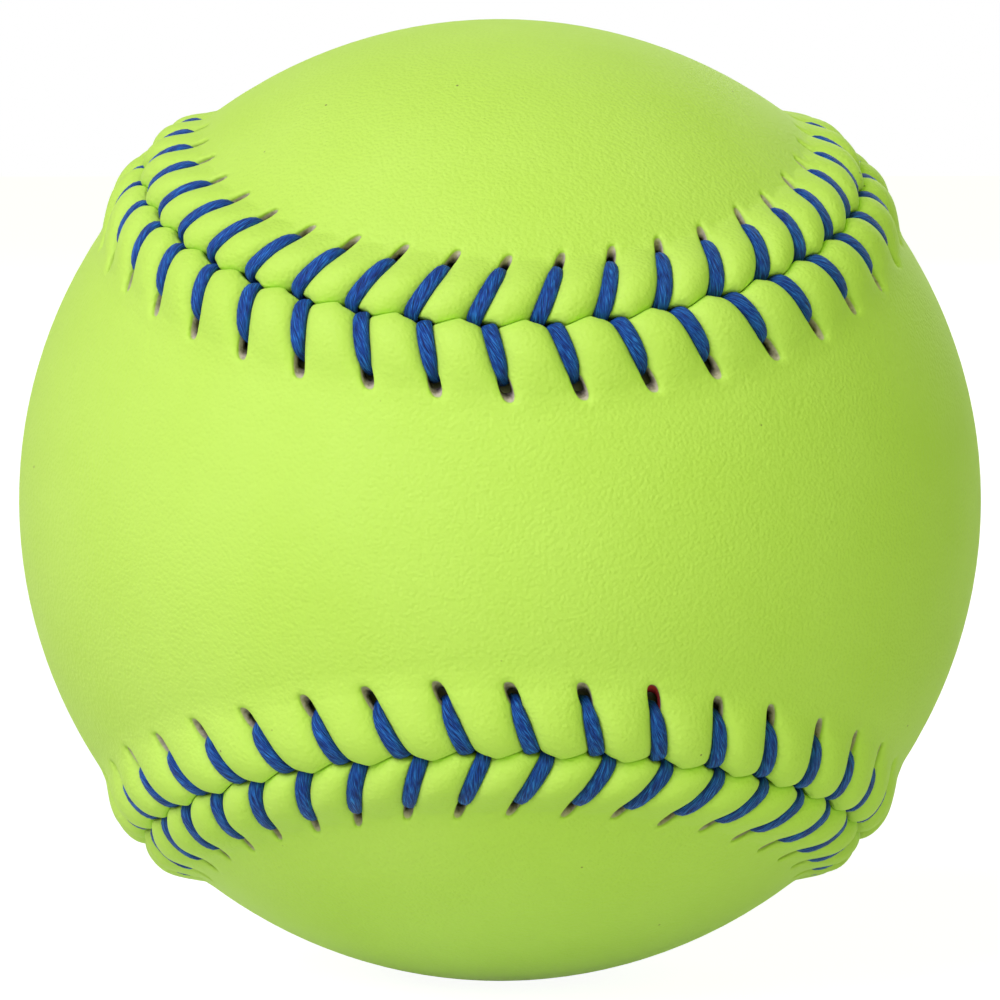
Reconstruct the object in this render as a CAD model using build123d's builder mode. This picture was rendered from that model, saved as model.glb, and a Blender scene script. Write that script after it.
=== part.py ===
from build123d import *

import math
import os
from bisect import bisect_right

# A 12-inch softball in millimetres: a moulded core under a laced cover of two panels.
# The origin is the centre of the ball and +Z is up. The front panel's neck faces -Y and its
# lobes lie at +X and -X. The rear panel's neck faces +Y and its lobes lie at +Z and -Z.

# Ball and layers
circumference = 12 * 25.4
skin_thickness = 1.0
film_thickness = 0.15

# Seam line: width of a panel's neck, two terms that shape its lobes, gap between the panels
neck_width = 41.3
lobe_fifth = -0.042
lobe_sixth = -0.035
seam_gap = 0.3

# Lacing: each stitch leads along the seam from its hole to the place where it dives
stitches_per_quarter = 22
first_stitch = 0.6
lace_diameter = 1.2
lace_clearance = 0.075
thread_gap = 0.3
hole_offset = 5.6
hole_stretch = 1.0
stitch_lead = 2.2
lace_arch = 0.35
hidden_share = 0.3
free_bend_share = 0.45

# Raised lip: a puff of skin stands between every two stitches of a panel
puff_height = 2.0
puff_shoulder = 0.7
puff_lip_share = 0.45
puff_crest = 2.9
puff_overreach = 1.3
puff_clearance = 0.1

# Backing: stops short of the holes, which leaves a tunnel for the hidden runs of the lace
felt_setback = 0.3
layer_gap = 0.02

ball_radius = circumference / (2 * math.pi)
lace_room = lace_diameter / 2 + lace_clearance
skin_inner = ball_radius - skin_thickness
film_outer = skin_inner - 2 * lace_room
core_radius = film_outer - film_thickness

stitch_count = 4 * stitches_per_quarter
dive_spacing = lace_diameter + thread_gap
slot_reach = hole_offset + hole_stretch
slot_lead = -stitch_lead * hole_stretch / hole_offset
widest_lean = math.atan2(stitch_lead + dive_spacing / 2, hole_offset)
channel_at_slot = lace_room / math.cos(widest_lean) + puff_clearance
channel_at_seam = channel_at_slot + dive_spacing / 2
puff_reach = hole_offset + puff_overreach
puff_foot = ball_radius - skin_thickness / 2

# Strength of the seam's third harmonic, which makes the neck as wide as it is set
neck_slope = math.tan(neck_width / 2 / ball_radius)
lobe_third = (math.sqrt(neck_slope**2 + 1 - lobe_fifth + lobe_sixth * neck_slope) - neck_slope) ** 2


def seam_direction(turn):
    """Direction from the centre to the seam, at a turn from 0 to one round."""
    x = math.cos(turn) + lobe_third * math.cos(3 * turn) + lobe_fifth * math.cos(5 * turn)
    y = math.sin(turn) - lobe_third * math.sin(3 * turn) + lobe_fifth * math.sin(5 * turn)
    z = 2 * math.sqrt(lobe_third) * math.sin(2 * turn) + lobe_sixth * math.sin(6 * turn)
    return Vector(x - y, -math.sqrt(2) * z, x + y).normalized()


# Distance along the seam at even steps of its turn
step_count = 40 * stitch_count
step_turn = 2 * math.pi / step_count
seam_distances = [0.0]
for step in range(step_count):
    chord = seam_direction((step + 1) * step_turn) - seam_direction(step * step_turn)
    seam_distances.append(seam_distances[-1] + ball_radius * chord.length)
seam_length = seam_distances[-1]
pitch = seam_length / stitch_count


def seam_point(distance):
    """Direction from the centre to the seam, at a distance along it."""
    along = distance % seam_length
    step = min(bisect_right(seam_distances, along), step_count) - 1
    share = (along - seam_distances[step]) / (seam_distances[step + 1] - seam_distances[step])
    return seam_direction((step + share) * step_turn)


def seam_tangent(distance):
    """Direction in which the seam runs, at a distance along it."""
    nudge = pitch / 500
    return (seam_point(distance + nudge) - seam_point(distance - nudge)).normalized()


def on_ball(distance, across, radius):
    """Point at a distance along the seam and across it, where the front panel is above zero."""
    up = seam_point(distance)
    aside = up.cross(seam_tangent(distance))
    angle = across / ball_radius
    return (up * math.cos(angle) + aside * math.sin(angle)) * radius


def station(stitch):
    """Distance along the seam of a stitch's two holes."""
    return first_stitch + stitch * pitch


def seam_wall(across):
    """Radial wall beside the seam that passes through all layers, with one patch per stitch."""
    patches = []
    for stitch in range(stitch_count):
        arcs = []
        for radius in (core_radius - skin_thickness, ball_radius + puff_height):
            arc_points = [on_ball((stitch + share) * pitch, across, radius) for share in (0, 0.5, 1)]
            arcs.append(Edge.make_three_point_arc(*arc_points))
        patches.append(Face.make_surface_from_curves(*arcs))
    return Shell(patches)


def puff_section(foot_distance, slot_distance, rise):
    """Profile of a puff, in the plane that runs from the seam to beside the end of a hole."""
    foot = on_ball(foot_distance, 0, 1)
    toe = on_ball(slot_distance, slot_reach, 1)

    def point(radius, arc):
        angle = arc / ball_radius
        return (radius * math.cos(angle), radius * math.sin(angle))

    with BuildSketch(Plane((0, 0, 0), x_dir=foot, z_dir=foot.cross(toe))) as section:
        with BuildLine():
            seam_foot = point(puff_foot, seam_gap)
            seam_lip = point(ball_radius + rise * puff_lip_share, seam_gap)
            crest = point(ball_radius + rise, puff_crest)
            outer_foot = point(puff_foot, puff_reach)
            Line(seam_foot, seam_lip)
            ThreePointArc(seam_lip, crest, outer_foot)
            Line(outer_foot, seam_foot)
        make_face()
    return section.sketch


def puff(stitch):
    """Pillow of skin between a stitch of the front panel and the next one."""
    here = station(stitch)
    there = station(stitch + 1)
    middle = (here + there) / 2
    sections = [
        puff_section(
            here + stitch_lead + channel_at_seam, here + slot_lead + channel_at_slot, puff_shoulder
        ),
        puff_section(middle + stitch_lead, middle + slot_lead, puff_height),
        puff_section(
            there + stitch_lead - channel_at_seam, there + slot_lead - channel_at_slot, puff_shoulder
        ),
    ]
    return loft(sections, mode=Mode.PRIVATE)


def lace_corners(first_side):
    """Corners of one thread, each with a mark that says whether it bends round an edge there.

    The thread comes up through a hole, crosses to the seam, dives there and runs hidden under
    the other panel to that panel's next hole. It starts and ends under the lip.
    """
    low = film_outer + lace_room
    high = ball_radius + lace_room
    corners = []
    for stitch in range(stitch_count):
        side = first_side * (-1) ** stitch
        hole = station(stitch)
        dive = hole + stitch_lead - side * dive_spacing / 2
        hidden = dive + hidden_share * (station(stitch + 1) - dive)
        corners += [
            (on_ball(hole, side * hole_offset, low), True),
            (on_ball(hole, side * hole_offset, high), True),
            (on_ball((hole + dive) / 2, side * hole_offset / 2, high + lace_arch), False),
            (on_ball(dive, 0, high), True),
            (on_ball(dive, 0, low), True),
            (on_ball(hidden, -side * hole_offset / 2, low), False),
        ]
    return corners


def lace_wire(corners):
    """Straight runs joined by arcs, tight round an edge and elsewhere as wide as the runs allow."""
    edges = []
    last = corners[0][0]
    for (before, _), (corner, tight), (after, _) in zip(corners, corners[1:], corners[2:]):
        back = before - corner
        ahead = after - corner
        half_turn = math.radians(180 - back.get_angle(ahead)) / 2
        reach = free_bend_share * min(back.length, ahead.length)
        if tight:
            reach = lace_room * math.tan(half_turn)
        start = corner + back.normalized() * reach
        end = corner + ahead.normalized() * reach
        radius = reach / math.tan(half_turn)
        inward = (back.normalized() + ahead.normalized()).normalized()
        middle = corner + inward * radius * (1 / math.cos(half_turn) - 1)
        edges.append(Edge.make_line(last, start))
        edges.append(Edge.make_three_point_arc(start, middle, end))
        last = end
    edges.append(Edge.make_line(last, corners[-1][0]))
    return Wire(edges)


# Moulded core
with BuildPart() as core:
    Sphere(core_radius)

# Cement between the core and the cover
with BuildPart() as cement_film:
    Sphere(film_outer)
    Sphere(core_radius, mode=Mode.SUBTRACT)

# Front panel: a shell split along the seam, with its holes and seam notches, then its puffs.
# The turn of the spheres keeps their poles and their closing edge out of the panel.
sphere_turn = (0, 0, 90)
front_puffs = [puff(stitch) for stitch in range(stitch_count)]
with BuildPart() as front_cover:
    Sphere(ball_radius, rotation=sphere_turn)
    Sphere(skin_inner, rotation=sphere_turn, mode=Mode.SUBTRACT)
    split(bisect_by=seam_wall(seam_gap / 2), keep=Keep.ALL)
    add(front_cover.solids().sort_by(Axis.Y)[0], mode=Mode.REPLACE)
    for stitch in range(stitch_count):
        hole = on_ball(station(stitch), hole_offset, ball_radius)
        dive = on_ball(station(stitch) + stitch_lead, 0, ball_radius)
        with BuildSketch(Plane(hole, x_dir=hole - dive, z_dir=hole)):
            with Locations((hole_stretch / 2, 0)):
                SlotCenterToCenter(hole_stretch, 2 * lace_room)
        with BuildSketch(Plane(dive, x_dir=seam_tangent(station(stitch) + stitch_lead), z_dir=dive)):
            SlotCenterToCenter(dive_spacing, 2 * lace_room)
    extrude(amount=2 * skin_thickness, both=True, clean=False, mode=Mode.SUBTRACT)
    add(front_puffs, clean=False)

# Front backing
with BuildPart() as front_felt:
    Sphere(skin_inner - layer_gap, rotation=sphere_turn)
    Sphere(film_outer + layer_gap, rotation=sphere_turn, mode=Mode.SUBTRACT)
    split(bisect_by=seam_wall(slot_reach + lace_room + felt_setback), keep=Keep.ALL)
    add(front_felt.solids().sort_by(Axis.Y)[0], mode=Mode.REPLACE)

# The rear panel and its backing are the front ones turned over and a quarter round
quarter_turn = (0, -90, 0)
with BuildPart() as rear_cover:
    add(mirror(front_cover.part, about=Plane.XZ, mode=Mode.PRIVATE), rotation=quarter_turn)

with BuildPart() as rear_felt:
    add(mirror(front_felt.part, about=Plane.XZ, mode=Mode.PRIVATE), rotation=quarter_turn)

# Two threads that lace the panels together from opposite sides
first_wire = lace_wire(lace_corners(1))
with BuildPart() as lace_thread_1:
    with BuildSketch(Plane(first_wire @ 0, z_dir=first_wire % 0)):
        Circle(lace_diameter / 2)
    sweep(path=first_wire, clean=False)

second_wire = lace_wire(lace_corners(-1))
with BuildPart() as lace_thread_2:
    with BuildSketch(Plane(second_wire @ 0, z_dir=second_wire % 0)):
        Circle(lace_diameter / 2)
    sweep(path=second_wire, clean=False)

lace_section = math.pi * (lace_diameter / 2) ** 2
for thread, wire in ((lace_thread_1, first_wire), (lace_thread_2, second_wire)):
    radii = [edge.radius for edge in wire.edges().filter_by(GeomType.CIRCLE)]
    print(f"lace bends from {min(radii):.2f} to {max(radii):.1f} mm, length {wire.length:.1f} mm")
    print(f"lace volume {thread.part.volume:.3f}, section times length {lace_section * wire.length:.3f}")

core.part.label = "core"
cement_film.part.label = "cement_film"
front_felt.part.label = "front_felt"
rear_felt.part.label = "rear_felt"
front_cover.part.label = "front_cover"
rear_cover.part.label = "rear_cover"
lace_thread_1.part.label = "lace_thread_1"
lace_thread_2.part.label = "lace_thread_2"

os.makedirs("parts", exist_ok=True)
export_step(core.part, "parts/core.step")
export_step(cement_film.part, "parts/cement_film.step")
export_step(front_felt.part, "parts/front_felt.step")
export_step(rear_felt.part, "parts/rear_felt.step")
export_step(front_cover.part, "parts/front_cover.step")
export_step(rear_cover.part, "parts/rear_cover.step")
export_step(lace_thread_1.part, "parts/lace_thread_1.step")
export_step(lace_thread_2.part, "parts/lace_thread_2.step")
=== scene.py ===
"""Laced softball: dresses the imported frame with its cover, its lacing, light and a camera.

Sizes are in millimetres, as on the maker's drawing, and meshes are written in metres.
"""

import logging
import math
from collections.abc import Callable, Mapping, Sequence
from dataclasses import dataclass
from enum import Enum
from functools import cached_property
from typing import Any, NamedTuple

import bpy
import numpy as np
from bpy.types import Material, NodeSocket, Object, World
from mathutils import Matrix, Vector
from mathutils.geometry import delaunay_2d_cdt

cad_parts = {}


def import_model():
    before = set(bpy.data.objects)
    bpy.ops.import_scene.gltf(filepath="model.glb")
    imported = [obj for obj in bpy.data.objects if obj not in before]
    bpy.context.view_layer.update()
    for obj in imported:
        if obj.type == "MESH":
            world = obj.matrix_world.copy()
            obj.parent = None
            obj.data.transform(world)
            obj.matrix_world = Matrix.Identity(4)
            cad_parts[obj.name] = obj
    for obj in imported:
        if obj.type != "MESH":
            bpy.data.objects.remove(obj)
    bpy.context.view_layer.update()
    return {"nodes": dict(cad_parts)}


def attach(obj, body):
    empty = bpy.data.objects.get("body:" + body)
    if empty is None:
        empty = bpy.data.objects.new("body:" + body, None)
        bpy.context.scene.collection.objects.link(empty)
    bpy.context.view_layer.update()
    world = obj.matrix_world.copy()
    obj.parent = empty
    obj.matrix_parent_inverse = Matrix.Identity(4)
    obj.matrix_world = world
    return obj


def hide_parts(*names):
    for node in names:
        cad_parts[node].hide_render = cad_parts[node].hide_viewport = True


LOG = logging.getLogger("softball")
MM = 0.001
WHITE = (1.0, 1.0, 1.0, 1.0)

Array = np.ndarray
Colour = tuple[float, float, float]
Table = tuple[tuple[float, ...], tuple[float, ...]]


class Panel(Enum):
    """The two panels of the cover, by the sign of the distance across the seam."""

    FRONT = 1
    REAR = -1

    @property
    def node(self) -> str:
        """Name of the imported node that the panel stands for."""
        return f"{self.name.lower()}_cover"


class Stray(Enum):
    """What differs from stitch to stitch in hand lacing."""

    LEAN = 0
    REACH = 1


def smooth(share: Array) -> Array:
    """Eased step from 0 to 1, for shares that are held there outside."""
    held = np.clip(share, 0.0, 1.0)
    return held * held * (3.0 - 2.0 * held)


def dome(share: Array, powers: tuple[float, float]) -> Array:
    """Rounded fall from 1 to 0."""
    return (1 - share ** powers[0]) ** powers[1]


def unit(vectors: Array) -> Array:
    """Vectors of length 1 in the same directions."""
    return vectors / np.linalg.norm(vectors, axis=-1, keepdims=True)


def travelled(line: Array) -> Array:
    """Distance along a line of points up to each of them."""
    steps = np.linalg.norm(np.diff(line, axis=0), axis=1)
    return np.concatenate([[0.0], np.cumsum(steps)])


@dataclass(frozen=True)
class SeamLine:
    """Closed seam on the ball, laid out by the distance along it and across it."""

    # Length round the smooth ball, and width of a panel's neck along it.
    circumference: float = 12 * 25.4
    neck_width: float = 41.3
    # Strengths of the harmonics that shape the lobes.
    lobe_fifth: float = -0.042
    lobe_sixth: float = -0.035
    # Steps by which the seam is measured, and the distance either way that gives its heading.
    steps: int = 3520
    nudge: float = 0.01

    @property
    def ball_radius(self) -> float:
        """Radius of the smooth ball."""
        return self.circumference / (2 * math.pi)

    @cached_property
    def lobe_third(self) -> float:
        """Strength of the third harmonic, which makes the neck as wide as it is set."""
        slope = math.tan(self.neck_width / 2 / self.ball_radius)
        return (math.sqrt(slope**2 + 1 - self.lobe_fifth + self.lobe_sixth * slope) - slope) ** 2

    def directions(self, turns: Array) -> Array:
        """Directions from the centre to the seam.

        Args:
            turns: Angles from 0 to one round.

        Returns:
            Unit vectors, with their three numbers along the last axis.
        """
        third, fifth, sixth = self.lobe_third, self.lobe_fifth, self.lobe_sixth
        x = np.cos(turns) + third * np.cos(3 * turns) + fifth * np.cos(5 * turns)
        y = np.sin(turns) - third * np.sin(3 * turns) + fifth * np.sin(5 * turns)
        z = 2 * math.sqrt(third) * np.sin(2 * turns) + sixth * np.sin(6 * turns)
        return unit(np.stack([x - y, -math.sqrt(2) * z, x + y], axis=-1))

    @cached_property
    def turns(self) -> Array:
        """Even steps of the seam's angle."""
        return np.linspace(0.0, 2 * math.pi, self.steps + 1)

    @cached_property
    def distances(self) -> Array:
        """Distance along the seam at each step of its angle."""
        return travelled(self.directions(self.turns)) * self.ball_radius

    @property
    def length(self) -> float:
        """Length of the whole seam."""
        return float(self.distances[-1])

    def axes(self, along: Array) -> tuple[Array, Array]:
        """Local axes of the seam.

        Args:
            along: Distances along the seam.

        Returns:
            Unit vectors outwards, and across the seam towards the front panel.
        """
        places = [(along + step) % self.length for step in (-self.nudge, 0.0, self.nudge)]
        turns = [np.interp(place, self.distances, self.turns) for place in places]
        before, up, after = (self.directions(turn) for turn in turns)
        return up, np.cross(up, unit(after - before))

    def place(self, along: Array, across: Array, radius: Array | float) -> Array:
        """Points on the ball.

        Args:
            along: Distances along the seam.
            across: Distances across it, above zero on the front panel.
            radius: Distances from the centre.

        Returns:
            Points, with their three numbers along the last axis.
        """
        up, aside = self.axes(along)
        angle = across[..., None] / self.ball_radius
        reach = np.broadcast_to(radius, across.shape)[..., None]
        return (up * np.cos(angle) + aside * np.sin(angle)) * reach

    def across(self, directions: Array) -> Array:
        """Distance across the seam of any direction, from the nearest place on it.

        Args:
            directions: Unit vectors, one a row.

        Returns:
            Distances, above zero on the front panel.
        """
        up, aside = self.axes(self.distances[:-1:2])
        nearest = np.argmax(directions @ up.T, axis=1)
        return np.arcsin(np.clip(np.sum(directions * aside[nearest], axis=1), -1, 1)) * self.ball_radius


@dataclass(frozen=True)
class StitchPlan:
    """Where the stitches lie along the seam."""

    seam: SeamLine
    # Stitches on each side of the seam, and where along it the first pair of holes lies.
    count: int = 88
    first: float = 0.6
    # Distance from the seam at which the lace comes up, and mean distance along it to the dive.
    hole_offset: float = 5.6
    lead: float = 2.2
    # Length of the front panel's visible legs, as a share of the rear panel's.
    front_leg_share: float = 0.9
    # Distance along the seam between the two laces that dive together.
    dive_spacing: float = 1.5
    # How far the joint line sways to each side, how far after a hole it is furthest to the front,
    # and how far from the seam the sway fades.
    sway: float = 0.33
    sway_start: float = 0.6
    sway_fade: float = 1.6
    # Mean distances along the seam from a station to the panels' holes, and what they stray at most.
    front_shift: float = -0.15
    rear_shift: float = 0.4
    stray: float = 0.22
    seed: int = 7
    # Distances from the seam along a leg of lace, and half its width there.
    leg_width: Table = (
        (0.0, 1.5, 3.2, 4.4, 5.2, 6.0),
        (0.74, 0.78, 0.76, 0.7, 0.55, 0.5),
    )

    @property
    def pitch(self) -> float:
        """Distance between stitches."""
        return self.seam.length / self.count

    def stations(self) -> Array:
        """Distances along the seam of all pairs of holes."""
        return self.first + np.arange(self.count) * self.pitch

    def dive_of(self, panel: Panel) -> float:
        """Distance along the seam from a station to where one panel's lace dives."""
        return self.lead - panel.value * self.dive_spacing / 2

    def leg_share(self, panel: Panel) -> float:
        """Length of one panel's visible legs, as a share of the rear panel's."""
        return self.front_leg_share if panel is Panel.FRONT else 1.0

    def strays(self, panel: Panel, place: Array, kind: Stray) -> Array:
        """Small differences from stitch to stitch, eased between neighbours.

        Args:
            panel: Which panel's holes.
            place: Places along the seam, counted in stitches.
            kind: What differs.

        Returns:
            Distances of up to one stray either way.
        """
        draw = np.random.default_rng((self.seed, kind.value, panel.value + 1))
        strays = self.stray * draw.uniform(-1.0, 1.0, self.count)
        return np.interp(place, np.arange(self.count), strays, period=self.count)

    def leg_along(self, panel: Panel, place: Array, away: Array) -> Array:
        """Distance along the seam of a line beside a leg of lace, which leans as the leg does.

        Args:
            panel: Which panel's leg.
            place: Places along the seam, counted in stitches.
            away: Distances from the seam.

        Returns:
            Distances along the seam.
        """
        shift = self.front_shift if panel is Panel.FRONT else self.rear_shift
        lean = self.dive_of(panel) - shift - self.strays(panel, place, Stray.LEAN)
        return self.first + place * self.pitch + self.dive_of(panel) - lean * away / self.hole_offset

    def joint_line(self, along: Array, away: Array) -> Array:
        """Distance to the front by which the joint line sways, as felt away from it."""
        phase = 2 * math.pi * (along - self.first - self.sway_start) / self.pitch
        return self.sway * np.cos(phase) * np.exp(-np.abs(away) / self.sway_fade)

    def from_dives(self, along: Array) -> Array:
        """Distance along the seam from the middle of the nearest pair of dives, without sign."""
        middle = self.first + self.lead
        return np.abs((along - middle + self.pitch / 2) % self.pitch - self.pitch / 2)


class MeshDraft:
    """Points and faces of a piece while it is put together, in millimetres."""

    def __init__(self) -> None:
        """Starts empty."""
        self.points: list[Array] = []
        self.marks: list[Array] = []
        self.faces: list[list[int]] = []
        self.count = 0

    def add_points(self, points: Array, mark: Array | float = 0.0) -> Array:
        """Adds points.

        Args:
            points: Points, with their three numbers along the last axis.
            mark: A number for each point, which the finish can read.

        Returns:
            Numbers of the points, in the shape in which they came.
        """
        shape = points.shape[:-1]
        flat = points.reshape(-1, 3)
        numbers = np.arange(self.count, self.count + len(flat)).reshape(shape)
        self.points.append(flat)
        self.marks.append(np.broadcast_to(mark, shape).reshape(-1))
        self.count += len(flat)
        return numbers

    def add_bands(self, lower: Array, upper: Array) -> None:
        """Joins closed loops in pairs by bands of faces, without faces that lack a corner.

        Args:
            lower: Numbers of the points on one loop, or on one a row, with -1 for none.
            upper: The same for the loops that they are joined to.
        """
        corners = [lower, np.roll(lower, -1, axis=-1), np.roll(upper, -1, axis=-1), upper]
        quads = np.stack(corners, axis=-1).reshape(-1, 4)
        self.faces.extend(quads[(quads >= 0).all(axis=1)].tolist())

    def add_fill(self, loops: Sequence[Array], loose: Array, project: Callable[[Array], Array]) -> None:
        """Fills a loop with triangles that also use loose points, and leaves its inner loops open.

        Args:
            loops: Numbers of the points on the outer loop, and then on each inner one.
            loose: Numbers of the points inside that belong to no loop.
            project: Function that takes points and gives their places on a plane.
        """
        used = np.concatenate([*loops, loose])
        flat = [Vector(place) for place in project(np.concatenate(self.points)[used]).tolist()]
        ends = np.cumsum([len(loop) for loop in loops])
        borders = [list(range(end - len(loop), end)) for loop, end in zip(loops, ends)]
        inside_with_holes = 2
        _, _, triangles, origins, _, _ = delaunay_2d_cdt(flat, [], borders, inside_with_holes, 1e-9)
        back = [int(used[origin[0]]) for origin in origins]
        self.faces.extend([back[corner] for corner in triangle] for triangle in triangles)

    def to_object(self, name: str, mark_name: str | None = None) -> Object:
        """Makes the piece.

        Args:
            name: Name of the object.
            mark_name: Name of the attribute that keeps the points' marks, if they are kept.

        Returns:
            The object, in the scene and smooth all over, with its faces turned outwards.
        """
        mesh = bpy.data.meshes.new(name)
        mesh.from_pydata((np.concatenate(self.points) * MM).tolist(), [], self.faces)
        if mark_name is not None:
            marks = mesh.attributes.new(mark_name, "FLOAT", "POINT")
            marks.data.foreach_set("value", np.concatenate(self.marks))
        piece = bpy.data.objects.new(name, mesh)
        bpy.context.collection.objects.link(piece)
        bpy.ops.object.select_all(action="DESELECT")
        piece.select_set(True)
        bpy.context.view_layer.objects.active = piece
        bpy.ops.object.mode_set(mode="EDIT")
        bpy.ops.mesh.select_all(action="SELECT")
        bpy.ops.mesh.normals_make_consistent(inside=False)
        bpy.ops.object.mode_set(mode="OBJECT")
        bpy.ops.object.shade_smooth()
        return piece


class WallStep(NamedTuple):
    """A step down the wall of a hole: shares of its depth, of the rim's sizes, and of fibre colour with
    its painted shade.
    """

    depth: float
    width: float
    length: float
    fibre: float


@dataclass(frozen=True)
class CoverPanel:
    """One panel of the cover: smooth skin with a puffed lip, lace beds and lace holes.

    In its methods, aside is the distance along the seam from the middle of a leg of lace, and
    away the distance from the panel's edge. Heights are over the smooth ball.
    """

    plan: StitchPlan
    panel: Panel
    skin_thickness: float = 1.0
    # Gap between the panels' edges, the depth, half length and half slope of the notch where laces
    # dive, and the distance over which gap and notch fade.
    joint_gap: float = 0.08
    notch_depth: float = 0.32
    notch_reach: float = 1.5
    notch_ease: float = 0.45
    edge_fade: float = 0.8
    # Height of a puff's crest, its distance from the seam, and the height of the puff's edge there.
    crest_height: float = 2.0
    crest_away: float = 2.5
    edge_height: float = 0.8
    # Where a puff runs out, the power of its fall, which is 1 for a plain wave, and half the
    # distance over which puffs merge beyond the holes.
    toe_away: float = 8.6
    toe_power: float = 1.3
    toe_merge: float = 0.8
    # Powers that round a puff from its crest to the seam, and along the seam to the lace beds.
    rise_powers: tuple[float, float] = (2.4, 0.7)
    puff_powers: tuple[float, float] = (2.3, 0.56)
    # Width of a lace's bed, as a share of the lace's.
    bed_share: float = 0.86
    # Crease round a puff's toe: distance of its middle from the seam, depth and half width.
    crease_away: float = 7.0
    crease_depth: float = 0.05
    crease_width: float = 0.5
    # Distances from the seam of a hole's ends, and of the lace at its foot.
    hole_start: float = 5.0
    hole_end: float = 7.5
    hole_foot: float = 5.55
    # Half a hole's width, the power of its outline, which is 2 for an ellipse, and up to how many
    # times its size the mesh follows it.
    hole_half_width: float = 0.6
    hole_squareness: float = 2.5
    hole_reach: float = 2.2
    # Depth by which the skin turns in at a hole, and over how many half holes.
    rim_drop: float = 0.1
    rim_width: float = 0.4
    # Width of the finely meshed strip along the seam, the spacing of the smooth skin's points, and
    # how far beyond the strip they start.
    strip_width: float = 9.8
    lattice_spacing: float = 1.7
    lattice_margin: float = 2.6
    # Stitch whose hole on the front panel has a red stain.
    stained_stitch: int = 57
    # Columns across half a hole and on to the middle between holes, and rows up to the holes,
    # along them and beyond.
    hole_columns: int = 4
    puff_columns: int = 9
    seam_rows: int = 14
    hole_rows: int = 10
    outer_rows: int = 7
    # Rings between the strip and the lattice: every how many points, and how far out.
    rings: tuple[tuple[int, float], ...] = ((2, 0.5), (4, 1.3))
    # Distances from the seam along a leg of lace, and the heights of its bed there.
    bed: Table = (
        (0.0, 0.8, 1.8, 3.2, 4.6, 5.4, 7.4, 8.6),
        (-0.2, 0.3, 0.58, 0.58, 0.22, -0.08, -0.05, 0.0),
    )
    wall: tuple[WallStep, ...] = (
        WallStep(0.10, 0.99, 0.985, 0.0),
        WallStep(0.22, 0.96, 0.95, 0.5),
        WallStep(0.60, 0.92, 0.78, 0.75),
        WallStep(1.00, 0.86, 0.52, 1.0),
    )

    @property
    def radius(self) -> float:
        """Radius of the smooth ball."""
        return self.plan.seam.ball_radius

    @property
    def inner_radius(self) -> float:
        """Radius of the back of the skin."""
        return self.radius - self.skin_thickness

    def column_places(self) -> Array:
        """Places the columns of one stitch.

        Returns:
            Their distances aside.
        """
        near = np.linspace(0.0, self.hole_half_width, self.hole_columns + 1)
        ease = np.linspace(0.0, 1.0, self.puff_columns + 1)[1:] ** 1.5
        far = self.hole_half_width + (self.plan.pitch / 2 - self.hole_half_width) * ease
        half = np.concatenate([near, far])
        return np.concatenate([-half[:0:-1], half[:-1]])

    def row_places(self) -> Array:
        """Places the rows of the strip.

        Returns:
            Their distances away.
        """
        near = self.hole_start * np.linspace(0.0, 1.0, self.seam_rows + 1) ** 1.6
        middle = np.linspace(self.hole_start, self.hole_end, self.hole_rows + 1)[1:]
        ease = np.linspace(0.0, 1.0, self.outer_rows + 1)[1:] ** 1.3
        return np.concatenate([near, middle, self.hole_end + (self.strip_width - self.hole_end) * ease])

    def in_holes(self, aside: Array, away: Array) -> tuple[Array, Array]:
        """Distances aside and away from the middle of a hole, in its half width and half length."""
        half_length = (self.hole_end - self.hole_start) / 2
        return aside / self.hole_half_width, (away - self.hole_start) / half_length - 1

    def outline(self, x: Array, y: Array) -> Array:
        """Size of the hole-shaped outline through a point, which is 1 on the hole's own."""
        power = self.hole_squareness
        return (np.abs(x) ** power + np.abs(y) ** power) ** (1 / power)

    def round_holes(self, aside: Array, away: Array) -> tuple[Array, Array]:
        """Draws the square grid round each hole into the hole's round outline.

        Args:
            aside, away: Distances aside and away.

        Returns:
            The same two distances, moved.
        """
        x, y = self.in_holes(aside, away)
        square = np.maximum(np.maximum(np.abs(x), np.abs(y)), 1e-6)
        angle = np.arctan2(y, x)
        size = square / self.outline(np.cos(angle), np.sin(angle))
        weight = smooth((self.hole_reach - square) / (self.hole_reach - 1.0))
        x = x + weight * (np.cos(angle) * size - x)
        y = y + weight * (np.sin(angle) * size - y)
        half_length = (self.hole_end - self.hole_start) / 2
        return x * self.hole_half_width, self.hole_start + (y + 1) * half_length

    def height(self, aside: Array, away: Array) -> Array:
        """Height of the skin over the smooth ball.

        Args:
            aside, away: Distances aside and away.

        Returns:
            Heights.
        """
        inner = np.clip((self.crest_away - away) / self.crest_away, 0.0, 1.0)
        outer = np.clip((away - self.crest_away) / (self.toe_away - self.crest_away), 0.0, 1.0)
        rise = self.edge_height + (self.crest_height - self.edge_height) * dome(inner, self.rise_powers)
        fall = self.crest_height * (0.5 + 0.5 * np.cos(math.pi * outer)) ** self.toe_power
        top = np.where(away > self.crest_away, fall, rise)
        along_leg = away / self.plan.leg_share(self.panel)
        bed = np.interp(along_leg, *self.bed)
        bed_half = self.bed_share * np.interp(along_leg, *self.plan.leg_width)
        half_pitch = self.plan.pitch / 2
        from_crest = np.clip((half_pitch - np.abs(aside)) / (half_pitch - bed_half), 0.0, 1.0)
        puff = dome(from_crest, self.puff_powers)
        puff = puff + (1 - puff) * smooth((away - self.hole_end + self.toe_merge) / (2 * self.toe_merge))
        rim = self.outline(*self.in_holes(aside, away))
        turn_in = self.rim_drop * np.clip(1 - (rim - 1) / self.rim_width, 0.0, 1.0) ** 2
        return bed + np.maximum(top - bed, 0.0) * puff - turn_in - self.crease(aside, away)

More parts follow.
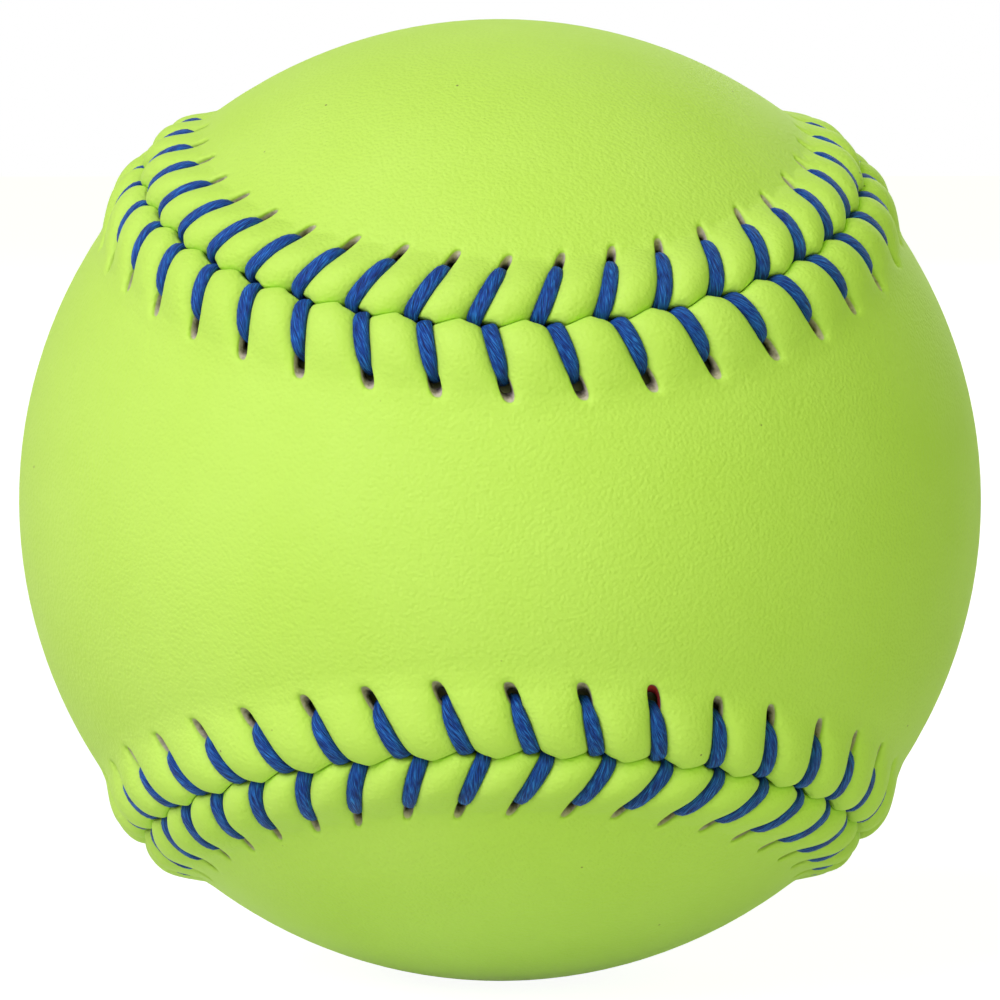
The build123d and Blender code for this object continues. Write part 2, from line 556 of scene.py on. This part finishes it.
    def crease(self, aside: Array, away: Array) -> Array:
        """Depth of the curved crease round the toe of each puff.

        Args:
            aside, away: Distances aside and away.

        Returns:
            Depths.
        """
        share = np.abs(aside) / (self.plan.pitch / 2)
        line = self.crease_away - (1 - share) ** 2
        fade_start, fade_span = 0.3, 0.35
        fade = smooth((share - fade_start) / fade_span)
        return self.crease_depth * fade * np.exp(-(((away - line) / self.crease_width) ** 2))

    def lay(self, stitches: Array, aside: Array, away: Array, radius: Array | float) -> Array:
        """Places points of the strip on the ball.

        Args:
            stitches: Numbers of the stitches that the points belong to.
            aside, away: Distances aside and away.
            radius: Distances from the centre.

        Returns:
            Points.
        """
        plan = self.plan
        place = stitches + aside / plan.pitch
        ease_in, ease_out = 2.0, 1.8
        reach = smooth((away - self.hole_start) / ease_in) * smooth((self.strip_width - away) / ease_out)
        away = away + reach * plan.strays(self.panel, place, Stray.REACH)
        along = plan.leg_along(self.panel, place, away)
        ease = self.notch_ease
        give = smooth((self.notch_reach + ease - plan.from_dives(along)) / (2 * ease))
        edge = self.joint_gap / 2 + self.notch_depth * give
        across = self.panel.value * (away + edge * np.exp(-away / self.edge_fade))
        return plan.seam.place(along, across + plan.joint_line(along, away), radius)

    def project(self, points: Array) -> Array:
        """Flat places of points on the panel, seen from its neck through the ball.

        Args:
            points: Points on the panel.

        Returns:
            Places, which keep the points' order round every loop.
        """
        x, y, z = unit(points).T
        flat = (x, z) if self.panel is Panel.FRONT else (z, x)
        return np.stack(flat, axis=1) / (1 - self.panel.value * y)[:, None]

    def lattice(self, spacing: float, margin: float) -> Array:
        """Directions spread evenly over the panel.

        Args:
            spacing: Distance between neighbours on the ball.
            margin: Least distance from the seam.

        Returns:
            Unit vectors, one a row.
        """
        cell = math.sqrt(0.75) * spacing**2
        total = int(4 * math.pi * self.radius**2 / cell)
        index = np.arange(total) + 0.5
        depth = 1 - 2 * index / total
        turn = math.pi * (1 + math.sqrt(5)) * index
        ring = np.sqrt(1 - depth**2)
        spread = np.stack([ring * np.cos(turn), depth, ring * np.sin(turn)], axis=1)
        return spread[self.panel.value * self.plan.seam.across(spread) > margin]

    def add_hole_walls(self, draft: MeshDraft, grid: Array, aside: Array, away: Array) -> Array:
        """Adds the wall of every hole, from its rim to the back of the skin.

        Args:
            draft: The piece so far.
            grid: Numbers of the strip's points by row and column.
            aside, away: Distances aside and away of those points.

        Returns:
            Numbers of the points at the foot of each wall, one hole a row.
        """
        top, bottom = self.seam_rows, self.seam_rows + self.hole_rows
        left, right = self.puff_columns, self.puff_columns + 2 * self.hole_columns
        path = [(top, column) for column in range(left, right)]
        path += [(row, right) for row in range(top, bottom)]
        path += [(bottom, column) for column in range(right, left, -1)]
        path += [(row, left) for row in range(bottom, top, -1)]
        path_rows, path_columns = np.array(path).T
        stitches = np.arange(self.plan.count)[:, None]
        at = (path_rows, path_columns + stitches * (grid.shape[1] // self.plan.count))
        ring, aside, away = grid[at], aside[at], away[at]
        rim = self.radius + self.height(aside, away)
        beyond = away - self.hole_foot
        stained = (stitches == self.stained_stitch) & (self.panel is Panel.FRONT)
        for step in self.wall:
            level = rim + step.depth * (self.inner_radius - rim)
            drawn_away = self.hole_foot + beyond * np.where(beyond > 0, step.length, step.width)
            wall = self.lay(stitches, aside * step.width, drawn_away, level)
            lower = draft.add_points(wall, np.where(stained, 2 * step.fibre, step.fibre))
            draft.add_bands(ring, lower)
            ring = lower
        return ring

    def build(self) -> Object:
        """Makes the panel as one closed skin.

        Returns:
            The object, whose attribute wall says how deep in a hole a point is.
        """
        draft = MeshDraft()
        columns = self.column_places()
        stitches = np.repeat(np.arange(self.plan.count), len(columns))
        aside, away = np.meshgrid(np.tile(columns, self.plan.count), self.row_places())
        aside, away = self.round_holes(aside, away)
        skin = self.lay(stitches, aside, away, self.radius + self.height(aside, away))
        inside_rim = 0.9
        solid = self.outline(*self.in_holes(aside, away)) > inside_rim
        grid = np.full(solid.shape, -1)
        grid[solid] = draft.add_points(skin[solid])
        draft.add_bands(grid[:-1], grid[1:])
        hole_loops = self.add_hole_walls(draft, grid, aside, away)
        inner_edge = draft.add_points(self.lay(stitches, aside[0], away[0], self.inner_radius))
        draft.add_bands(grid[0], inner_edge)

        loose = [self.lattice(self.lattice_spacing, self.strip_width + self.lattice_margin) * self.radius]
        for step, further in self.rings:
            ring_away = away[-1, ::step] + further
            loose.append(self.lay(stitches[::step], aside[-1, ::step], ring_away, self.radius))
        draft.add_fill([grid[-1]], draft.add_points(np.concatenate(loose)), self.project)
        coarse = self.lattice(3 * self.lattice_spacing, self.strip_width) * self.inner_radius
        draft.add_fill([inner_edge, *hole_loops], draft.add_points(coarse), self.project)
        return draft.to_object(f"{self.panel.node}_skin", "wall")

    def dress(self, skin: Material) -> None:
        """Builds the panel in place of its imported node."""
        put_in_place(self.build(), self.panel.node, skin)


class LaceStop(NamedTuple):
    """A place that a lace passes, away from the seam and over the smooth ball, with its section there."""

    away: float
    height: float
    half_width: float
    half_thickness: float


@dataclass(frozen=True)
class LaceThread:
    """One of the two threads, which takes turns between the panels from stitch to stitch."""

    plan: StitchPlan
    number: int
    # Panel of its first visible leg.
    first_panel: Panel
    # Points round the thread, and rings for each stop.
    sides: int = 36
    steps: int = 2
    # Filament ridges: count, height as a share of the thread's size, and turn along it in radians
    # a millimetre.
    filaments: int = 9
    ridge: float = 0.035
    twist: float = 0.4
    # Power of the section's outline, which is 1 for an ellipse and less for a fuller one.
    roundness: float = 0.8
    # Stops along a visible leg, from the foot of its hole to where it has dived.
    leg: tuple[LaceStop, ...] = (
        LaceStop(5.75, -1.68, 0.52, 0.50),
        LaceStop(5.62, -0.70, 0.50, 0.48),
        LaceStop(5.40, 0.24, 0.54, 0.44),
        LaceStop(4.60, 0.74, 0.70, 0.42),
        LaceStop(3.30, 1.08, 0.76, 0.42),
        LaceStop(1.90, 1.10, 0.78, 0.42),
        LaceStop(0.80, 0.90, 0.76, 0.40),
        LaceStop(0.10, 0.25, 0.74, 0.36),
        LaceStop(0.00, -0.90, 0.66, 0.36),
        LaceStop(-0.10, -1.68, 0.58, 0.46),
    )
    # Stop on the way to the next hole, and the share of that way before it.
    hidden: LaceStop = LaceStop(-2.80, -1.68, 0.52, 0.50)
    hidden_share: float = 0.3

    def panel_at(self, stitch: int) -> Panel:
        """Panel of the visible leg at a stitch."""
        return self.first_panel if stitch % 2 == 0 else Panel(-self.first_panel.value)

    def stops(self) -> tuple[Array, Array, Array]:
        """Route of the thread.

        Returns:
            Points that the route bends towards, the direction of the lace's width at each, and
            its half width and half thickness there.
        """
        plan = self.plan
        seam = plan.seam
        stops = np.array([*self.leg, self.hidden])
        points, widths = [], []
        for stitch, station in enumerate(plan.stations()):
            panel = self.panel_at(stitch)
            side = panel.value
            dive = station + plan.dive_of(panel)
            away = stops[:, 0] * np.where(stops[:, 0] > 0, plan.leg_share(panel), 1.0)
            along = plan.leg_along(panel, np.full(len(away), float(stitch)), np.maximum(away, 0.0))
            along[-1] = dive + self.hidden_share * (station + plan.pitch - dive)
            across = side * away + plan.joint_line(along, away)
            points.append(seam.place(along, across, seam.ball_radius + stops[:, 1]))
            corners = np.array([station, dive, station + plan.pitch])
            ends = seam.place(corners, np.array([side, 0, -side]) * plan.hole_offset, seam.ball_radius)
            headings = np.repeat(np.diff(ends, axis=0), [len(stops) - 2, 2], axis=0)
            widths.append(np.cross(points[-1], headings))
        directions = unit(np.concatenate(widths))
        turns = np.sign(np.sum(directions[1:] * directions[:-1], axis=1))
        directions[1:] *= np.cumprod(turns)[:, None]
        return np.concatenate(points), directions, np.tile(stops[:, 2:], (plan.count, 1))

    def smooth_route(self, stops: Array) -> Array:
        """Smooth line near the stops.

        Args:
            stops: Points that the route bends towards.

        Returns:
            Points along the line.
        """
        curve = bpy.data.curves.new("lace_route", "CURVE")
        curve.dimensions = "3D"
        curve.resolution_u = self.steps
        spline = curve.splines.new("NURBS")
        spline.points.add(len(stops) - 1)
        spline.points.foreach_set("co", np.column_stack([stops, np.ones(len(stops))]).ravel())
        spline.use_endpoint_u = True
        spline.order_u = 3
        holder = bpy.data.objects.new("lace_route", curve)
        line = bpy.data.meshes.new_from_object(holder)
        points = np.empty(3 * len(line.vertices))
        line.vertices.foreach_get("co", points)
        bpy.data.objects.remove(holder)
        bpy.data.curves.remove(curve)
        bpy.data.meshes.remove(line)
        return points.reshape(-1, 3)

    def build(self) -> Object:
        """Makes the thread as one closed tube with filament ridges.

        Returns:
            The object, with a UV map that runs round the thread and along it.
        """
        stops, directions, sections = self.stops()
        line = self.smooth_route(stops)
        index = np.arange(len(stops))
        where = np.linspace(0.5, len(stops) - 1.5, len(line))
        tangent = unit(np.gradient(line, axis=0))
        width = np.stack([np.interp(where, index, part) for part in directions.T], axis=1)
        width = unit(width - tangent * np.sum(width * tangent, axis=1, keepdims=True))
        normal = np.cross(tangent, width)
        half_width, half_thickness = (np.interp(where, index, part) for part in sections.T)
        travel = travelled(line)

        angle = 2 * math.pi * np.arange(self.sides) / self.sides
        x, y = (np.sign(wave) * np.abs(wave) ** self.roundness for wave in (np.cos(angle), np.sin(angle)))
        ridges = 1 + self.ridge * np.cos(self.filaments * (angle[None, :] + self.twist * travel[:, None]))
        rings = (
            line[:, None, :]
            + width[:, None, :] * (half_width[:, None] * x * ridges)[..., None]
            + normal[:, None, :] * (half_thickness[:, None] * y * ridges)[..., None]
        )
        draft = MeshDraft()
        numbers = draft.add_points(rings)
        draft.add_bands(numbers[:-1], numbers[1:])
        draft.faces.extend([numbers[0].tolist(), numbers[-1].tolist()])
        piece = draft.to_object(f"lace_thread_{self.number}_wound")
        self.map_surface(piece, travel)
        return piece

    def map_surface(self, piece: Object, travel: Array) -> None:
        """Gives the thread a UV map, in turns across its filaments and millimetres along them.

        Args:
            piece: The thread.
            travel: Distance along the thread of each ring.
        """
        mesh = piece.data
        corners = np.empty(len(mesh.loops), dtype=np.int32)
        mesh.loops.foreach_get("vertex_index", corners)
        rings, columns = np.divmod(corners, self.sides)
        # All faces but the two ends are quads, and those over the join run on past the last column.
        quads = columns[: -2 * self.sides].reshape(-1, 4)
        wraps = np.ptp(quads, axis=1, keepdims=True) > 1
        quads[wraps & (quads == 0)] = self.sides
        along = travel[rings]
        turns = columns / self.sides + self.twist * along / (2 * math.pi)
        layer = mesh.uv_layers.new(name="thread")
        layer.data.foreach_set("uv", np.column_stack([turns, along]).ravel())

    def dress(self, filaments: Material) -> None:
        """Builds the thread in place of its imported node."""
        put_in_place(self.build(), f"lace_thread_{self.number}", filaments)


class Value:
    """A socket of a material, whose arithmetic adds Math nodes."""

    def __init__(self, graph: "Graph", socket: NodeSocket) -> None:
        """Keeps an output socket and the material that it belongs to."""
        self.graph = graph
        self.socket = socket

    def maths(self, operation: str, left: "Value | float", right: "Value | float") -> "Value":
        """Result of a new Math node."""
        return self.graph.add("Math", {"operation": operation}, {0: left, 1: right})

    def __add__(self, other: "Value | float") -> "Value":
        """Sum."""
        return self.maths("ADD", self, other)

    def __sub__(self, other: "Value | float") -> "Value":
        """Difference."""
        return self.maths("SUBTRACT", self, other)

    def __rsub__(self, other: float) -> "Value":
        """Difference from a number."""
        return self.maths("SUBTRACT", other, self)

    def __mul__(self, other: "Value | float") -> "Value":
        """Product."""
        return self.maths("MULTIPLY", self, other)

    # Sums and products with a number on the left.
    __radd__ = __add__
    __rmul__ = __mul__


class Graph:
    """Node tree of one material or of the world."""

    def __init__(self, owner: Material | World) -> None:
        """Empties the owner's node tree.

        Args:
            owner: What the nodes belong to.
        """
        owner.use_nodes = True
        self.owner = owner
        self.tree = owner.node_tree
        self.tree.nodes.clear()

    @classmethod
    def of_material(cls, name: str) -> "Graph":
        """Starts a new material of that name."""
        return cls(bpy.data.materials.new(name))

    def add(
        self,
        kind: str,
        settings: Mapping[str, Any] | None = None,
        inputs: Mapping[str | int, Any] | None = None,
        output: str | int = 0,
    ) -> Value:
        """Adds a node.

        Args:
            kind: Type of the node, without its first two words.
            settings: Its settings, which are set first.
            inputs: Values or links of its sockets, by name or place.
            output: The socket to go on from.

        Returns:
            That output.
        """
        node = self.tree.nodes.new(f"ShaderNode{kind}")
        for key, setting in (settings or {}).items():
            setattr(node, key, setting)
        for key, given in (inputs or {}).items():
            if isinstance(given, Value):
                self.tree.links.new(given.socket, node.inputs[key])
            else:
                node.inputs[key].default_value = given
        return Value(self, node.outputs[output])

    def blend(self, share: Value | float, first: Value | Colour, second: Value | Colour) -> Value:
        """Mix of two colours, by the share of the second."""
        pair = [colour if isinstance(colour, Value) else (*colour, 1.0) for colour in (first, second)]
        return self.add("Mix", {"data_type": "RGBA"}, {0: share, 6: pair[0], 7: pair[1]}, 2)

    def noise(self, place: Value, scale: float, detail: float = 2.0, roughness: float = 0.5) -> Value:
        """Soft noise around 0.5, by its blotches in a unit of length and its finer layers."""
        inputs = {"Vector": place, "Scale": scale, "Detail": detail, "Roughness": roughness}
        return self.add("TexNoise", inputs=inputs)

    def ramp(self, value: Value, low: float, high: float) -> Value:
        """Stretches the span from low to high to 0 to 1, and holds what is outside."""
        inputs = {"Value": value, "From Min": low, "From Max": high}
        return self.add("MapRange", inputs=inputs)

    def tones(self, value: Value, stops: Sequence[tuple[float, Colour]]) -> Value:
        """Colours a value by a ramp.

        Args:
            value: The value.
            stops: Places from 0 to 1, each with its colour.

        Returns:
            The colour.
        """
        tone = self.add("ValToRGB", inputs={0: value})
        ramp = tone.socket.node.color_ramp
        while len(ramp.elements) < len(stops):
            ramp.elements.new(1.0)
        for element, (place, colour) in zip(ramp.elements, stops):
            element.position = place
            element.color = (*colour, 1.0)
        return tone

    def bump(self, height: Value, distance: float, strength: float, under: Value | None = None) -> Value:
        """Turns heights into a bumped normal.

        Args:
            height: Heights from 0 to 1.
            distance: Height in metres that 1 stands for.
            strength: Strength from 0 to 1.
            under: A normal that is already bumped, if there is one.

        Returns:
            The normal.
        """
        inputs: dict[str | int, Any] = {"Height": height, "Distance": distance, "Strength": strength}
        if under is not None:
            inputs["Normal"] = under
        return self.add("Bump", inputs=inputs)

    def object_place(self) -> Value:
        """Place on the piece, in metres."""
        return self.add("TexCoord", output="Object")

    def close(self, shader: Value, kind: str = "OutputMaterial") -> None:
        """Sends a shader to the surface, through an output node of that kind."""
        output = self.tree.nodes.new(f"ShaderNode{kind}")
        self.tree.links.new(shader.socket, output.inputs["Surface"])

    def finish(self, **inputs: Any) -> Material:
        """Closes the material with one shader.

        Args:
            inputs: Values of the shader's sockets, with underscores for spaces in their names.

        Returns:
            The material.
        """
        named = {key.replace("_", " "): given for key, given in inputs.items()}
        self.close(self.add("BsdfPrincipled", inputs=named))
        return self.owner


@dataclass(frozen=True)
class SkinFinish:
    """Optic yellow coated skin with a fine grain, and the fibres that show in its holes."""

    # The coat, and its slightly denser patches.
    colour: Colour = (0.6, 0.885, 0.13)
    deep_colour: Colour = (0.575, 0.86, 0.112)
    # The cut fibres, darker ones that stand both for dark tufts at random and for painted shade deeper
    # down the holes, and the stained ones.
    fibre: Colour = (0.62, 0.55, 0.42)
    dark_fibre_and_shade: Colour = (0.1, 0.085, 0.05)
    stain: Colour = (0.4, 0.03, 0.03)
    # The few specks of dust.
    speck: Colour = (0.2, 0.25, 0.05)
    # Counts in a metre of patches, cells with a speck, fibre tufts, waves, coarse and fine grain.
    patches: float = 55.0
    dust: float = 180.0
    fibres: float = 1800.0
    waves: float = 330.0
    pebbles: float = 2400.0
    pores: float = 3200.0

    def material(self) -> Material:
        """Makes the finish.

        Returns:
            The material.
        """
        graph = Graph.of_material("cover_skin")
        place = graph.object_place()
        wall = graph.add("Attribute", {"attribute_name": "wall"}, output="Fac")
        cloud = graph.noise(place, self.patches, 3.0)
        coat = graph.blend(graph.ramp(cloud, 0.35, 0.7), self.colour, self.deep_colour)
        dust = graph.add("TexVoronoi", inputs={"Vector": place, "Scale": self.dust})
        coat = graph.blend(1.0 - graph.ramp(dust, 0.012, 0.03), coat, self.speck)
        # Dark fibres come in random tufts and also as painted shade that grows down each hole's wall.
        dark_tufts_and_depth_shade = graph.ramp(wall, 0.55, 1.0) * 0.8 + graph.noise(place, self.fibres) * 1.6 - 0.75
        fibres = graph.blend(graph.ramp(dark_tufts_and_depth_shade, 0.0, 1.0), self.fibre, self.dark_fibre_and_shade)
        fibres = graph.blend(graph.ramp(wall, 1.0, 1.2), fibres, self.stain)
        in_hole = graph.ramp(wall, 0.25, 0.6)
        cells = {"Vector": place, "Scale": self.pebbles, "Smoothness": 0.5}
        pebbles = graph.add("TexVoronoi", {"feature": "SMOOTH_F1"}, cells)
        waves = graph.bump(graph.noise(place, self.waves), 0.0002, 0.06)
        grain = graph.noise(place, self.pores, roughness=0.6) * 0.5 - pebbles * 0.6
        return graph.finish(
            Base_Color=graph.blend(in_hole, coat, fibres),
            Roughness=cloud * 0.1 + in_hole * 0.3 + 0.55,
            Specular_IOR_Level=0.16,
            Normal=graph.bump(grain, 0.00017, 0.6, waves),
        )


@dataclass(frozen=True)
class LaceFinish:
    """Royal blue multi-filament thread."""

    # The filaments, their painted highlights, the painted shade in the gaps between them, and their soft
    # sheen.
    colour: Colour = (0.005, 0.05, 0.3)
    highlight_colour: Colour = (0.03, 0.22, 0.66)
    gap_shade_colour: Colour = (0.002, 0.012, 0.08)
    sheen: Colour = (0.2, 0.5, 1.0)

    def material(self) -> Material:
        """Makes the finish.

        Returns:
            The material.
        """
        graph = Graph.of_material("lace_filaments")
        thread = graph.add("UVMap", {"uv_map": "thread"})
        hairs = self.streaks(graph, thread, 90.0, 1.1)
        strands = self.streaks(graph, thread, 46.0, 0.8)
        bundles = self.streaks(graph, thread, 22.0, 0.4)
        mixed = hairs * 0.4 + strands * 0.35 + bundles * 0.25
        # Streaks run from painted shade in the gaps to painted highlights on the filaments.
        stops = [(0.39, self.gap_shade_colour), (0.5, self.colour), (0.61, self.highlight_colour)]
        return graph.finish(
            Base_Color=graph.tones(mixed, stops),
            Roughness=0.55,
            Specular_IOR_Level=0.2,
            Sheen_Weight=0.1,
            Sheen_Roughness=0.4,
            Sheen_Tint=(*self.sheen, 1.0),
            Normal=graph.bump(mixed, 0.0003, 0.8),
        )

    @staticmethod
    def streaks(graph: Graph, thread: Value, across: float, along: float) -> Value:
        """Noise drawn out along the filaments, by its streaks in a turn and in a millimetre."""
        stretch = {0: thread, 1: (across, along, 1.0)}
        return graph.noise(graph.add("VectorMath", {"operation": "MULTIPLY"}, stretch), 1.0, 1.0, 0.6)


@dataclass(frozen=True)
class PlainFinish:
    """Finish of a layer inside the ball."""

    name: str
    # Colours of its patches, and their count in a metre.
    light: Colour
    dark: Colour
    scale: float
    roughness: float
    # Height of its grain in metres.
    depth: float

    def material(self) -> Material:
        """Makes the finish.

        Returns:
            The material.
        """
        graph = Graph.of_material(self.name)
        patches = graph.noise(graph.object_place(), self.scale, 4.0, 0.6)
        return graph.finish(
            Base_Color=graph.blend(graph.ramp(patches, 0.3, 0.7), self.dark, self.light),
            Roughness=self.roughness,
            Normal=graph.bump(patches, self.depth, 0.6),
        )


FELT = PlainFinish("felt_backing", (0.55, 0.53, 0.48), (0.34, 0.32, 0.28), 1400.0, 0.95, 0.0002)
CEMENT = PlainFinish("cement_coat", (0.26, 0.25, 0.18), (0.15, 0.145, 0.1), 300.0, 0.5, 0.0001)
CORE = PlainFinish("moulded_core", (0.62, 0.56, 0.42), (0.5, 0.45, 0.34), 120.0, 0.7, 0.0001)


@dataclass(frozen=True)
class SoftLamp:
    """A square studio lamp that faces the ball, in metres and watts."""

    name: str
    place: tuple[float, float, float]
    size: float
    power: float
    colour: Colour

    def build(self) -> None:
        """Adds the lamp."""
        data = bpy.data.lights.new(self.name, "AREA")
        data.size = self.size
        data.energy = self.power
        data.color = self.colour
        lamp = bpy.data.objects.new(self.name, data)
        bpy.context.collection.objects.link(lamp)
        lamp.location = self.place
        lamp.rotation_euler = Vector(self.place).to_track_quat("Z", "Y").to_euler()


@dataclass(frozen=True)
class Studio:
    """Pale floor, soft light and the camera, in metres."""

    floor_height: float
    floor_size: float = 6.0
    floor_colour: Colour = (0.85, 0.85, 0.85)
    # Light from all round.
    ambient: float = 0.235
    ambient_colour: Colour = (0.78, 1.0, 0.2)
    # Share of the floor's own shading that the camera sees, and strength of the white for the rest.
    shadow_share: float = 0.4
    floor_glow: float = 1.56
    # Direction from the ball's centre to the camera, and its distance.
    camera_direction: tuple[float, float, float] = (-0.0228, -0.9963, 0.0832)
    camera_distance: float = 0.5821
    # Lens and sensor in millimetres.
    focal_length: float = 207.07
    sensor_width: float = 36.0
    lamps: tuple[SoftLamp, ...] = (
        SoftLamp("key", (-0.72, -0.78, 0.86), 1.0, 12.7, (1.0, 0.88, 1.45)),
        SoftLamp("front", (0.1, -1.25, 0.6), 0.9, 4.5, (0.84, 1.0, 0.3)),
        SoftLamp("rear", (0.6, 1.3, 0.6), 0.9, 4.5, (1.0, 0.98, 0.9)),
    )

    def build(self) -> None:
        """Adds everything."""
        bpy.context.scene.view_settings.view_transform = "Standard"
        self.add_floor()
        self.add_world()
        for lamp in self.lamps:
            lamp.build()
        self.add_camera()

    @staticmethod
    def seen_rays(graph: Graph) -> Value:
        """Picks the rays on which the background is seen, straight, mirrored or through glass.

        Args:
            graph: The material or world.

        Returns:
            A number that is 1 for those rays.
        """
        kinds = ("Is Camera Ray", "Is Glossy Ray", "Is Transmission Ray")
        straight, mirrored, through = (graph.add("LightPath", output=kind) for kind in kinds)
        return graph.ramp(straight + mirrored + through, 0.0, 1.0)

    def add_floor(self) -> None:
        """Adds the floor, which looks white and keeps a soft shadow."""
        bpy.ops.object.select_all(action="DESELECT")
        bpy.ops.mesh.primitive_plane_add(size=self.floor_size, location=(0, 0, self.floor_height))
        floor = bpy.context.object
        floor.name = "studio_floor"
        graph = Graph.of_material("studio_floor")
        plain = graph.add("BsdfDiffuse", inputs={"Color": (*self.floor_colour, 1.0)})
        white = graph.add("Emission", inputs={"Color": WHITE, "Strength": self.floor_glow})
        share = self.seen_rays(graph) * (1 - self.shadow_share)
        graph.close(graph.add("MixShader", inputs={0: share, 1: plain, 2: white}))
        floor.data.materials.append(graph.owner)

    def add_world(self) -> None:
        """Adds even light from all round, which looks white."""
        world = bpy.data.worlds.new("studio")
        bpy.context.scene.world = world
        graph = Graph(world)
        light = {"Color": (*self.ambient_colour, 1.0), "Strength": self.ambient}
        even = graph.add("Background", inputs=light)
        white = graph.add("Background", inputs={"Color": WHITE})
        mixed = graph.add("MixShader", inputs={0: self.seen_rays(graph), 1: even, 2: white})
        graph.close(mixed, "OutputWorld")

    def add_camera(self) -> None:
        """Adds the camera at the photograph's angle."""
        data = bpy.data.cameras.new("camera")
        data.lens = self.focal_length
        data.sensor_width = self.sensor_width
        camera = bpy.data.objects.new("camera", data)
        bpy.context.collection.objects.link(camera)
        direction = Vector(self.camera_direction).normalized()
        camera.location = direction * self.camera_distance
        camera.rotation_euler = direction.to_track_quat("Z", "Y").to_euler()
        bpy.context.scene.camera = camera


def put_in_place(piece: Object, node: str, material: Material) -> None:
    """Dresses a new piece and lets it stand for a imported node.

    Args:
        piece: The piece.
        node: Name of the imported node.
        material: Its material.
    """
    piece.data.materials.append(material)
    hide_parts(node)
    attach(piece, "root")
    LOG.info("%s: %d faces", piece.name, len(piece.data.polygons))


def dress_layer(node: Object, material: Material) -> None:
    """Gives a packed layer inside the ball its material.

    Args:
        node: The layer.
        material: Its material.
    """
    node.data.materials.clear()
    node.data.materials.append(material)
    LOG.info("%s: %s", node.name, material.name)


def main() -> None:
    """Builds the ball's pieces in order, then the studio."""
    logging.basicConfig(level=logging.INFO)
    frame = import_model()
    plan = StitchPlan(SeamLine())

    felt = FELT.material()
    for name, material in (
        ("core", CORE.material()),
        ("cement_film", CEMENT.material()),
        ("front_felt", felt),
        ("rear_felt", felt),
    ):
        dress_layer(frame["nodes"][name], material)

    skin = SkinFinish().material()
    CoverPanel(plan, Panel.FRONT, toe_away=9.2, toe_power=1.1, hole_start=4.5, hole_foot=5.0).dress(skin)
    CoverPanel(plan, Panel.REAR, hole_end=7.75, crease_depth=0.12).dress(skin)
    filaments = LaceFinish().material()
    for number, first_panel in enumerate(Panel, start=1):
        LaceThread(plan, number, first_panel).dress(filaments)

    Studio(floor_height=-plan.seam.ball_radius * MM).build()


if __name__ == "__main__":
    main()
